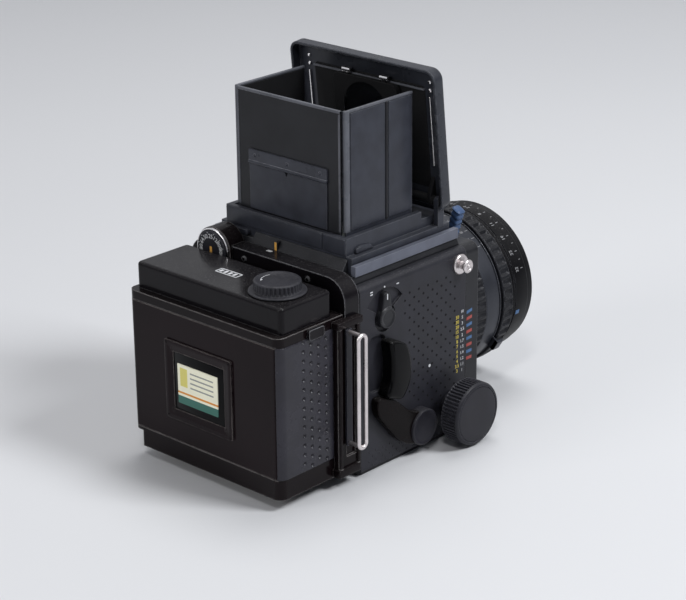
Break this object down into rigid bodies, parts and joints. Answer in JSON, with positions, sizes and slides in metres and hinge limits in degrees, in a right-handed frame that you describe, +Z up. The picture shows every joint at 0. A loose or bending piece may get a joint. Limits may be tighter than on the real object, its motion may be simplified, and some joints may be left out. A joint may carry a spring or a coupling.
{
  "type": "medium format film camera",
  "caption": "Single lens reflex roll film camera with a waist-level finder, a bellows focused lens and a revolving film back that takes a dark slide.",
  "frame": {"origin": "mouth of the tripod socket, in the plane of the base", "axes": "+Z up, the lens looks along -Y, the film back is at +Y, and -X is the viewer's right"},
  "size_m": [0.1484, 0.2126, 0.1994],
  "materials": {
    "body_black": "fine textured black lacquer",
    "satin_black": "satin black lacquer",
    "back_brown": "glossy brown-black lacquer",
    "plastic_black": "matt black",
    "plastic_gloss": "glossy black",
    "grey_plastic": "matt grey",
    "bright": "bright plated",
    "steel": "brushed",
    "alloy": "satin",
    "gear_brass": "turned",
    "bellows_cloth": "folded black cloth",
    "glass": "coated",
    "ground_glass": "ground",
    "mirror": "front silvered",
    "card": "printed card"
  },
  "bodies": {
    "body": {"body_shell": "satin_black", "base_plate": "satin_black", "base_screws": "steel", "right_side_cover": "body_black", "left_side_cover": "body_black", "top_plate": "satin_black", "finder_rails": "alloy", "strap_lugs": "bright", "accessory_shoe": "steel", "mirror_box": "satin_black", "bellows": "bellows_cloth", "screen_frame": "alloy", "focusing_screen": "ground_glass", "finder_base": "satin_black"},
    "standard": {"front_standard": "satin_black", "distance_scale_plate": "alloy", "lens_rear_barrel": "satin_black", "lens_front_barrel": "satin_black", "lens_elements": "glass", "lens_shutter": "alloy"},
    "bayonet": {"bayonet_ring": "satin_black"},
    "aperture": {"aperture_ring": "satin_black"},
    "preview": {"preview_ring": "satin_black", "preview_tab": "steel"},
    "release": {"release_button": "bright"},
    "release_lock": {"release_lock_ring": "steel"},
    "focus_drive": {"pinion_shaft": "steel", "focusing_knob_right": "plastic_black", "focusing_knob_left": "plastic_black"},
    "focus_lock": {"focus_lock_lever": "steel"},
    "mirror": {"mirror_frame": "satin_black", "mirror_glass": "mirror"},
    "lid": {"finder_lid": "satin_black"},
    "magnifier": {"magnifier_frame": "satin_black", "magnifier_lens": "glass"},
    "leaf_right": {"right_leaf": "satin_black"},
    "leaf_left": {"left_leaf": "satin_black"},
    "leaf_rear": {"rear_leaf": "satin_black", "rear_leaf_clip": "satin_black"},
    "finder_tab": {"finder_release_tab": "grey_plastic"},
    "film_back": {"revolving_adapter": "satin_black", "back_shell": "back_brown", "top_housing": "back_brown", "film_gate": "satin_black", "pressure_plate": "steel", "slide_guide": "satin_black"},
    "door": {"rear_door": "back_brown", "memo_holder": "plastic_black", "film_card": "card"},
    "catch": {"door_catch": "satin_black"},
    "slide": {"dark_slide": "steel", "dark_slide_handle": "bright"},
    "wind": {"wind_knob": "plastic_black", "wind_shaft": "steel", "takeup_spool": "plastic_black"},
    "counter": {"counter_wheel": "gear_brass"},
    "supply": {"supply_spool": "plastic_black"},
    "speed_dial": {"film_speed_dial": "plastic_black"},
    "shutter_speed": {"shutter_dial": "plastic_black"},
    "mode": {"mode_lever": "satin_black"},
    "cocking": {"cocking_lever": "plastic_gloss"}
  },
  "joints": [
    {"name": "focus_slide", "type": "slide", "parent": "body", "child": "standard", "axis": [0, -1, 0], "range_m": [0, 0.046], "deforming": ["bellows"]},
    {"name": "focus_knob_turn", "type": "hinge", "parent": "body", "child": "focus_drive", "pos_m": [0, -0.0253, 0.0181], "axis": [-1, 0, 0], "range_deg": [0, 330]},
    {"name": "focus_lock", "type": "hinge", "parent": "body", "child": "focus_lock", "pos_m": [0.057, -0.0253, 0.0181], "axis": [-1, 0, 0], "range_deg": [0, 45]},
    {"name": "bayonet_turn", "type": "hinge", "parent": "standard", "child": "bayonet", "pos_m": [0, -0.06, 0.0548], "axis": [0, -1, 0], "range_deg": [0, 40]},
    {"name": "aperture_turn", "type": "hinge", "parent": "standard", "child": "aperture", "pos_m": [0, -0.086, 0.0548], "axis": [0, -1, 0], "range_deg": [0, 45]},
    {"name": "preview_turn", "type": "hinge", "parent": "standard", "child": "preview", "pos_m": [0, -0.0815, 0.0548], "axis": [0, 1, 0], "range_deg": [0, 20], "stiffness_Nm_per_rad": 0.05, "springref_deg": -2.86},
    {"name": "release_press", "type": "slide", "parent": "standard", "child": "release", "axis": [0, 1, 0], "range_m": [0, 0.0025], "stiffness_N_per_m": 300, "springref_m": -0.002},
    {"name": "release_lock_turn", "type": "hinge", "parent": "standard", "child": "release_lock", "pos_m": [-0.044, -0.0495, 0.014], "axis": [0, -1, 0], "range_deg": [0, 90]},
    {"name": "mirror_swing", "type": "hinge", "parent": "body", "child": "mirror", "pos_m": [0, 0.038, 0.09], "axis": [-1, 0, 0], "range_deg": [0, 45], "stiffness_Nm_per_rad": 0.02, "springref_deg": -85.94},
    {"name": "lid_fold", "type": "hinge", "parent": "body", "child": "lid", "pos_m": [0, -0.0277, 0.128], "axis": [1, 0, 0], "range_deg": [-7, 0]},
    {"name": "magnifier_swing", "type": "hinge", "parent": "lid", "child": "magnifier", "pos_m": [0, -0.02135, 0.18837], "axis": [1, 0, 0], "range_deg": [0, 90]},
    {"name": "right_leaf_fold", "type": "hinge", "parent": "body", "child": "leaf_right", "pos_m": [-0.0372, 0.01, 0.1159], "axis": [0, -1, 0], "range_deg": [-90, 0]},
    {"name": "left_leaf_fold", "type": "hinge", "parent": "body", "child": "leaf_left", "pos_m": [0.0372, 0.01, 0.1184], "axis": [0, 1, 0], "range_deg": [-90, 0]},
    {"name": "rear_leaf_fold", "type": "hinge", "parent": "body", "child": "leaf_rear", "pos_m": [0, 0.0356, 0.1223], "axis": [-1, 0, 0], "range_deg": [-90, 0]},
    {"name": "finder_tab_slide", "type": "slide", "parent": "body", "child": "finder_tab", "axis": [1, 0, 0], "range_m": [0, 0.003], "stiffness_N_per_m": 100, "springref_m": -0.001},
    {"name": "adapter_turn", "type": "hinge", "parent": "body", "child": "film_back", "pos_m": [0, 0.048, 0.0548], "axis": [0, 1, 0], "range_deg": [0, 90]},
    {"name": "door_swing", "type": "hinge", "parent": "film_back", "child": "door", "pos_m": [0.049, 0.0983, 0.052], "axis": [0, 0, -1], "range_deg": [0, 110]},
    {"name": "catch_slide", "type": "slide", "parent": "film_back", "child": "catch", "axis": [0, 1, 0], "range_m": [0, 0.003], "stiffness_N_per_m": 100, "springref_m": -0.001},
    {"name": "dark_slide_pull", "type": "slide", "parent": "film_back", "child": "slide", "axis": [-1, 0, 0], "range_m": [0, 0.09]},
    {"name": "wind_turn", "type": "hinge", "parent": "film_back", "child": "wind", "pos_m": [-0.0326, 0.0785, 0.1], "axis": [0, 0, 1], "continuous": true},
    {"name": "counter_turn", "type": "hinge", "parent": "film_back", "child": "counter", "pos_m": [-0.0158, 0.0785, 0.095], "axis": [0, 0, 1], "continuous": true},
    {"name": "supply_turn", "type": "hinge", "parent": "film_back", "child": "supply", "pos_m": [0.0326, 0.0785, 0.055], "axis": [0, 0, 1], "continuous": true},
    {"name": "speed_dial_turn", "type": "hinge", "parent": "film_back", "child": "speed_dial", "pos_m": [0.0347, 0.057, 0.1058], "axis": [0, 1, 0], "range_deg": [0, 300]},
    {"name": "shutter_dial_turn", "type": "hinge", "parent": "body", "child": "shutter_speed", "pos_m": [0.058, -0.014, 0.08], "axis": [1, 0, 0], "range_deg": [0, 270]},
    {"name": "mode_turn", "type": "hinge", "parent": "body", "child": "mode", "pos_m": [-0.055, 0.025, 0.0823], "axis": [1, 0, 0], "range_deg": [-30, 30]},
    {"name": "cocking_swing", "type": "hinge", "parent": "body", "child": "cocking", "pos_m": [-0.058, 0.0006, 0.0155], "axis": [1, 0, 0], "range_deg": [0, 60], "stiffness_Nm_per_rad": 0.02, "springref_deg": -45.84}
  ],
  "couplings": [
    {"joint": "focus_knob_turn", "follows": "focus_slide", "rad_per_m": 125},
    {"joint": "counter_turn", "follows": "wind_turn", "ratio": -0.33333}
  ]
}
